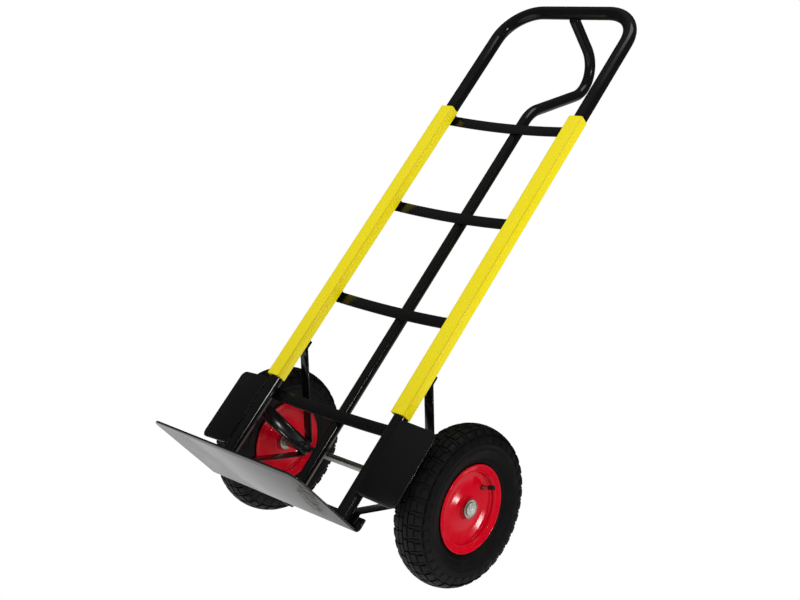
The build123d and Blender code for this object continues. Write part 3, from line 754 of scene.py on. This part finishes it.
# %% [markdown]
# The carcass lies under the skin by the depth of the grooves as far as the tread goes, steps up
# at the shoulder, and carries three thin mould rings: two on its wall and one by the rim.

# %% Carcass outline
TREAD_END = 43 * MM
LUG_END = 57 * MM
LUG_FLOOR = 0.9 * MM
WALL = 0.8 * MM
depths = [(s * MM, groove) for s in (0, 8, 16, 24, 31, 36, 40, 42.6)]
depths += [(s, LUG_FLOOR) for s in (TREAD_END, 50 * MM, LUG_END)]
depths += [(LUG_END + 0.5 * MM, 0.1 * MM), (60 * MM, 0.1 * MM)]
for ring in (66 * MM, 69 * MM, skin_length - 9 * MM):
    depths += [(ring - 1.6 * MM, WALL), (ring - 0.7 * MM, 0.0)]
    depths += [(ring + 0.7 * MM, 0.0), (ring + 1.6 * MM, WALL)]
depths += [(skin_length * share, WALL) for share in (0.80, 0.97, 1.0)]
depths.sort()
half = [skin_point(distance, depth) for distance, depth in depths] + [heel]
outline = half + [Vector((-p.x, p.y)) for p in reversed(half[1:])]
print("outline points:", len(outline))


# %% Tread blocks
def add_block_row(bm, start, end, length, depth, sunk, count, turn):
    """One ring of rounded blocks between two distances from the crown's middle."""
    places = [start + (end - start) * i / 3 for i in range(4)]
    rim_line = [skin_point(s, sunk) for s in places]
    foot_line = [skin_point(s, depth) for s in (end, start)]
    turned = Matrix.Rotation(turn, 3, "X")
    verts = [bm.verts.new(section_point(p)) for p in rim_line + foot_line]
    face = bm.faces.new(verts)
    geom = verts + list(face.edges) + [face]
    half_turn = Matrix.Rotation(-length / tyre_r / 2, 3, "X") @ turned
    bmesh.ops.rotate(bm, verts=verts, cent=hub, matrix=half_turn)
    bmesh.ops.spin(
        bm, geom=geom, cent=hub, axis=(1, 0, 0), dvec=(0, 0, 0),
        angle=length / tyre_r, steps=2, use_merge=False, use_duplicate=False,
    )
    seen, wave = set(verts), list(verts)
    while wave:
        wave = [e.other_vert(v) for v in wave for e in v.link_edges if e.other_vert(v) not in seen]
        seen.update(wave)
    block_faces = list({f for v in seen for f in v.link_faces})
    bmesh.ops.recalc_face_normals(bm, faces=block_faces)
    floor_r = min(p.length for p in foot_line) + 0.3 * MM

    def is_low(vert):
        """True for a corner of the block's foot."""
        radius = hypot(vert.co.y - axle_y, vert.co.z - axle_z)
        return Vector((vert.co.x, radius)).length < floor_r + 0.6 * depth

    # Corners that rise from the foot are rounded first, then the edges of the top.
    block = set(seen)
    for size, segments, low_ends in ((2.0 * MM, 2, 1), (0.6 * MM, 1, 0)):
        edges = {e for v in block for e in v.link_edges}
        sharp = [
            e for e in edges
            if e.calc_face_angle(0) > radians(40) and sum(map(is_low, e.verts)) == low_ends
        ]
        made = round_edges(bm, sharp, size, segments, clamp=True)
        block = {v for v in block if v.is_valid} | {v for f in made for v in f.verts}
    return repeat_round(bm, block, count)


# %% [markdown]
# Five kinds of block make the tread: a rib of long ones beside the middle, two rows of square
# ones, thin low bridges between those, and lugs on the shoulder. A row of the table gives where
# a block starts and ends across the tread, in millimetres, and its length round the tyre, in
# metres. Then come how deep its foot stands and how far its top is sunk under the skin, in
# millimetres, and how far the row is shifted round the tyre, in metres.

# %% Rows of the tread
PITCHES = 37
block_pitch = 2 * pi * tyre_r / PITCHES
rows = [
    (1.0, 9.5, block_pitch - 3 * MM, 4.0, 0.05, 0.0),
    (11.8, 23.2, block_pitch - 8.5 * MM, 4.0, 0.05, 0.0),
    (26.4, 38.4, block_pitch - 12 * MM, 4.0, 0.05, 1.5 * MM),
    (12.8, 37.2, 4.6 * MM, 3.2, 0.8, block_pitch / 2 + 0.4 * MM),
    (44.5, 55.5, block_pitch - 10 * MM, 1.8, 0.05, 1.5 * MM),
]


def make_tyre(hand):
    """Carcass and blocks of one tyre, moved out to its wheel's plane."""
    bm = bmesh.new()
    spin_section(bm, outline, 148)
    for way in (1, -1):
        turn = 0 if way == 1 else pi / PITCHES
        for start, end, length, depth, sunk, shift in rows:
            faces = add_block_row(
                bm, way * start * MM, way * end * MM, length, depth * MM, sunk * MM, PITCHES,
                turn + shift / tyre_r,
            )
    bmesh.ops.translate(bm, verts=bm.verts, vec=(SIDES[hand] * wheel_x, 0, 0))
    print(hand, "tyre:", len(bm.faces), "faces,", faces, "to a block")
    return finish_piece(
        bm, f"{hand}_tyre_rubber", f"{hand}_wheel", "tyre_rubber", (f"{hand}_tyre",)
    )


for hand in SIDES:
    make_tyre(hand)

# %% [markdown]
# ### Vent nibs
# Air leaves a tyre's mould through small holes, and rubber that follows it stays behind as thin
# nibs. A few survive in the groove beside the shoulder. Each is a short cone, made once and
# repeated by `spin`.

# %% Vent nibs
NIB_ROW = 42 * MM
NIBS = 24
NIB_TURN = 0.2


def add_vent_nibs(bm, distance, count, turn):
    """A ring of thin cones that stand on the skin."""
    foot = skin_point(distance, groove + 0.2 * MM)
    tip = skin_point(distance, -0.5 * MM)
    lean = (tip - foot).normalized()
    made = bmesh.ops.create_cone(
        bm, segments=6, radius1=0.6 * MM, radius2=0.35 * MM, depth=(tip - foot).length,
        cap_ends=True,
    )["verts"]
    stand = Vector((lean.x, 0, lean.y)).to_track_quat("Z", "Y").to_matrix()
    bmesh.ops.rotate(bm, verts=made, cent=(0, 0, 0), matrix=stand)
    bmesh.ops.translate(bm, verts=made, vec=section_point((foot + tip) / 2))
    bmesh.ops.rotate(bm, verts=made, cent=hub, matrix=Matrix.Rotation(turn, 3, "X"))
    repeat_round(bm, made, count)


for hand, side in SIDES.items():
    bm = bmesh.new()
    for way in (1, -1):
        add_vent_nibs(bm, way * NIB_ROW, NIBS, NIB_TURN)
    bmesh.ops.translate(bm, verts=bm.verts, vec=(side * wheel_x, 0, 0))
    nibs = finish_piece(bm, f"{hand}_vent_nibs", f"{hand}_wheel", "tyre_rubber")
print("nib faces:", len(nibs.data.polygons))

# %% [markdown]
# ## Hub ends
# A push-on cap holds each wheel on its axle. It is a pressed dome with a rolled foot, a ring
# groove and spring fingers that bite on the axle, and those fingers break up its reflection.
# Its section is spun like the tyre's, and one bevelled finger is repeated round it.

# %% Axle caps
cap_low, cap_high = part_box("right_axle_cap")
cap_r = (cap_high.z - cap_low.z) / 2
cap_foot = cap_low.x - wheel_x
cap_top = cap_high.x - wheel_x
rolled_foot = ((0.0, 0.6), (0.3, 0.1), (1.0, 0.0), (1.6, 0.4), (1.8, 1.2))
ring_groove = ((1.3, 2.0), (1.5, 2.8), (2.6, 3.6), (3.3, 5.0), (3.5, 7.0))
cap_line = [(cap_foot, 0.0)]
cap_line += [(cap_foot + x * MM, cap_r - r * MM) for x, r in rolled_foot + ring_groove]
cap_line += [
    (cap_top - 0.5 * MM, cap_r - 8.0 * MM), (cap_top - 0.1 * MM, cap_r - 9.5 * MM),
    (cap_top, 2.2 * MM), (cap_top - 0.5 * MM, 1.4 * MM), (cap_top - 0.7 * MM, 0.0),
]
FINGERS = 8


def make_axle_cap(hand, side):
    """Spun cap with a ring of leaning fingers."""
    bm = bmesh.new()
    verts = [bm.verts.new(section_point(p)) for p in cap_line]
    edges = [bm.edges.new(pair) for pair in zip(verts, verts[1:])]
    bmesh.ops.spin(
        bm, geom=verts + edges, cent=hub, axis=(1, 0, 0), dvec=(0, 0, 0), angle=2 * pi,
        steps=64, use_merge=True, use_duplicate=False,
    )
    finger = bmesh.ops.create_cube(bm, size=1)["verts"]
    bmesh.ops.scale(bm, verts=finger, vec=(1.2 * MM, 3.2 * MM, 5.4 * MM))
    tilt = Matrix.Rotation(radians(-14), 3, "Y")
    bmesh.ops.rotate(bm, verts=finger, cent=(0, 0, 0), matrix=tilt)
    seat = section_point((cap_foot + 2.6 * MM, cap_r - 5.6 * MM))
    bmesh.ops.translate(bm, verts=finger, vec=seat)
    made = round_edges(bm, list({e for v in finger for e in v.link_edges}), 0.35 * MM)
    repeat_round(bm, {v for f in made for v in f.verts}, FINGERS)
    bmesh.ops.remove_doubles(bm, verts=bm.verts, dist=0.001 * MM)
    bmesh.ops.translate(bm, verts=bm.verts, vec=(wheel_x, 0, 0))
    bmesh.ops.scale(bm, verts=bm.verts, vec=(side, 1, 1))
    return finish_piece(bm, f"{hand}_push_cap", "frame", "cap_chrome", (f"{hand}_axle_cap",), 30)


for hand, side in SIDES.items():
    cap = make_axle_cap(hand, side)
print("cap faces:", len(cap.data.polygons))

# %% [markdown]
# ### Valves
# The dust cap is knurled so that fingers can turn it. A drum with many sides is made first,
# then every second side face is inset and pushed in. A rubber grommet seals the stem where it
# leaves the disc: a small circle spun about the stem.

# %% Valve dust caps and grommets
VALVE_TURN = radians(16)
VALVE_TILT = radians(16)
valve_rise = sin(VALVE_TILT) / cos(VALVE_TILT)
grommet_x, grommet_r = 11.5 * MM, 55.5 * MM


def valve_place(x):
    """Point of the right-hand valve's centre line at a distance out from the wheel's plane."""
    radius = grommet_r + valve_rise * (x - grommet_x)
    back_y, up_z = radius * sin(VALVE_TURN), radius * cos(VALVE_TURN)
    return Vector((wheel_x + x, axle_y + back_y, axle_z + up_z))


mouth, tip = valve_place(26.5 * MM), valve_place(38.4 * MM)
along = (tip - mouth).normalized().to_track_quat("Z", "Y").to_matrix()


def make_dust_cap(hand, side):
    """Knurled plastic cap with rounded rims and a dimple in its end."""
    bm = bmesh.new()
    length = (tip - mouth).length
    bmesh.ops.create_cone(
        bm, segments=28, radius1=4.6 * MM, radius2=4.6 * MM, depth=length, cap_ends=True,
    )
    bm.normal_update()
    sides = [f for f in bm.faces if len(f.verts) == 4]
    ends = [f for f in bm.faces if len(f.verts) > 4]
    bmesh.ops.inset_individual(bm, faces=sides[::2], thickness=0.12 * MM, depth=-0.35 * MM)
    bmesh.ops.inset_individual(bm, faces=ends, thickness=0.7 * MM, depth=0.0)
    ends = [f for f in bm.faces if len(f.verts) > 4]
    outer_end = max(ends, key=lambda f: f.calc_center_median().z)
    bmesh.ops.inset_individual(bm, faces=[outer_end], thickness=1.6 * MM, depth=-0.8 * MM)
    rims = [e for e in bm.edges if abs(abs(e.verts[0].co.z) - length / 2) < 1e-6
            and abs(abs(e.verts[1].co.z) - length / 2) < 1e-6 and e.calc_face_angle(0) > 1.0]
    round_edges(bm, rims, 0.3 * MM)
    bmesh.ops.rotate(bm, verts=bm.verts, cent=(0, 0, 0), matrix=along)
    bmesh.ops.translate(bm, verts=bm.verts, vec=(mouth + tip) / 2)
    bmesh.ops.scale(bm, verts=bm.verts, vec=(side, 1, 1))
    return finish_piece(
        bm, f"{hand}_dust_cap", f"{hand}_wheel", "cap_plastic", (f"{hand}_valve_cap",), 30
    )


def make_grommet(hand, side):
    """Rubber ring round the stem, where it passes the outer disc."""
    bm = bmesh.new()
    ring = bmesh.ops.create_circle(bm, segments=10, radius=1.3 * MM)["verts"]
    bmesh.ops.rotate(bm, verts=ring, cent=(0, 0, 0), matrix=Matrix.Rotation(pi / 2, 3, "X"))
    bmesh.ops.translate(bm, verts=ring, vec=(4.9 * MM, 0, 0))
    bmesh.ops.spin(
        bm, geom=bm.verts[:] + bm.edges[:], cent=(0, 0, 0), axis=(0, 0, 1), dvec=(0, 0, 0),
        angle=2 * pi, steps=28, use_merge=True, use_duplicate=False,
    )
    bmesh.ops.remove_doubles(bm, verts=bm.verts, dist=0.001 * MM)
    bmesh.ops.rotate(bm, verts=bm.verts, cent=(0, 0, 0), matrix=along)
    bmesh.ops.translate(bm, verts=bm.verts, vec=valve_place(13.2 * MM))
    bmesh.ops.scale(bm, verts=bm.verts, vec=(side, 1, 1))
    return finish_piece(bm, f"{hand}_valve_grommet", f"{hand}_wheel", "tube_rubber")


for hand, side in SIDES.items():
    dust_cap = make_dust_cap(hand, side)
    make_grommet(hand, side)
print("dust cap faces:", len(dust_cap.data.polygons))

# %% [markdown]
# ## Weld beads
# Every joint of the frame is welded, and a weld is a row of small overlapping pools of metal,
# painted over. Each pool is a small ball of a few dozen faces, half sunk along a line where
# two parts meet. Rings go round the uprights' feet, short stitches hold straps and plates, and
# one bead follows the mouth where the looped handle runs into the top bar.

# %% Places to weld
tube_low, tube_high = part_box("main_frame")
tube_r = (tube_high.y - tube_low.y) / 2
post_x = tube_high.x - tube_r
bar_z = tube_high.z - tube_r
plate_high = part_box("toe_plate")[1]
loop_low, loop_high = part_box("centre_tube")
loop_r = (loop_high.x - loop_low.x) / 2
foot_z = tube_low.z
flange_y = plate_high.y
guard_low, guard_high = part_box("right_wheel_guard")
bracket_low, bracket_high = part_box("right_axle_bracket")
print("post", round(post_x, 4), "bar", round(bar_z, 4), "flange", round(flange_y, 4))


# %% Bead helper
SPACING = 0.85
SWELL = 0.12
ball = bmesh.new()
bmesh.ops.create_uvsphere(ball, u_segments=8, v_segments=5, radius=1)
drop_mesh = bpy.data.meshes.new("weld_drop")
ball.to_mesh(drop_mesh)
ball.free()


def add_bead(bm, points, size):
    """Overlapping drops along a run of points, each a little different from the last."""
    travelled, count = 0.0, 0
    for a, b in zip(points, points[1:]):
        length = (b - a).length
        while travelled <= length:
            drop = drop_mesh.copy()
            swell = size * (1 + SWELL * sin(count * 2.3))
            drop.transform(
                Matrix.Translation(a.lerp(b, travelled / length))
                @ Matrix.Rotation(count * 1.1, 4, "X") @ Matrix.Scale(swell, 4)
            )
            bm.from_mesh(drop)
            bpy.data.meshes.remove(drop)
            travelled += size * SPACING
            count += 1
        travelled -= length
    return count


def ring_points(centre, radius, steps=24):
    """A closed run of points round an upright centre line."""
    turns = [2 * pi * i / steps for i in range(steps + 1)]
    return [centre + Vector((cos(t), sin(t), 0)) * radius for t in turns]


# %% Stitches of the right-hand side
stitches = []


def stitch(size, start, end):
    """Note a short bead of drops of a size in millimetres between two places."""
    stitches.append((size * MM, start, end))


post_back = tube_r + 0.5 * MM
for bar in range(1, 5):
    bar_low, bar_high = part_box(f"crossbar_{bar}")
    for z in (bar_low.z, bar_high.z):
        stitch(1.7, (post_x - 9 * MM, post_back, z), (post_x + 3 * MM, post_back, z))
    seam_y = bar_high.y + 1.2 * MM
    stitch(1.6, (5 * MM, seam_y, bar_low.z + 2 * MM), (5 * MM, seam_y, bar_high.z - 2 * MM))
seam_y = flange_y + 1.8 * MM
stitch(1.9, (6 * MM, seam_y, 7 * MM), (6 * MM, seam_y, plate_high.z - 2 * MM))
guard_y = guard_low.y + 3.6 * MM
for share in (0.05, 0.5, 0.93):
    z = guard_low.z + (guard_high.z - guard_low.z) * share
    stitch(2.3, (guard_low.x, guard_y, z - 4 * MM), (guard_low.x, guard_y, z + 4 * MM))
seam_y = tube_r + 0.2 * MM
for x in (bracket_low.x - 0.8 * MM, bracket_high.x + 0.8 * MM):
    stitch(1.8, (x, seam_y, bracket_low.z + 2 * MM), (x, seam_y, bracket_high.z - 2 * MM))
    for z in (bracket_low.z, bracket_high.z):
        stitch(1.8, (x, axle_y - 9 * MM, z), (x, axle_y + 4 * MM, z))
seam_y = tube_r + 0.8 * MM
strut_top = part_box("right_upper_strut")[1].z
stitch(1.8, (post_x - 6 * MM, seam_y, strut_top), (post_x + 6 * MM, seam_y, strut_top))
strut_low, strut_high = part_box("right_lower_strut")
seam_y = strut_low.y + 3.2 * MM
for x in (strut_low.x, strut_high.x):
    stitch(1.7, (x, seam_y, 15 * MM), (x, seam_y, 29 * MM))
print("stitches on each side:", len(stitches))


# %% Welds on both sides
weld = bmesh.new()
drops = 0
for side in SIDES.values():
    foot = Vector((side * post_x, 0, foot_z + 0.6 * MM))
    drops += add_bead(weld, ring_points(foot, tube_r + 0.6 * MM), 2.2 * MM)
    for size, *places in stitches:
        drops += add_bead(weld, [Vector((side * x, y, z)) for x, y, z in places], size)
print("drops so far:", drops)

# %% The loop's end under the top bar
mouth_y = loop_low.y
mouth_z = bar_z - 13.2 * MM
reach = tube_r + 0.2 * MM
curve = []
for step in range(-9, 10):
    turn = radians(10 * step)
    z = mouth_z + loop_r * cos(turn)
    curve.append(Vector((loop_r * sin(turn), (reach**2 - (bar_z - z) ** 2) ** 0.5, z)))
drops += add_bead(weld, curve, 2.0 * MM)
plug = bmesh.ops.create_uvsphere(
    weld, u_segments=24, v_segments=12, radius=loop_r - 0.2 * MM
)["verts"]
bmesh.ops.scale(weld, verts=plug, vec=(1, 0.5, 1))
bmesh.ops.translate(weld, verts=plug, vec=(0, mouth_y + 2 * MM, mouth_z - 0.6 * MM))
beads = finish_piece(weld, "frame_weld_beads", "frame", "black_paint", smooth_angle=60)
print("weld faces:", len(beads.data.polygons), "drops:", drops)
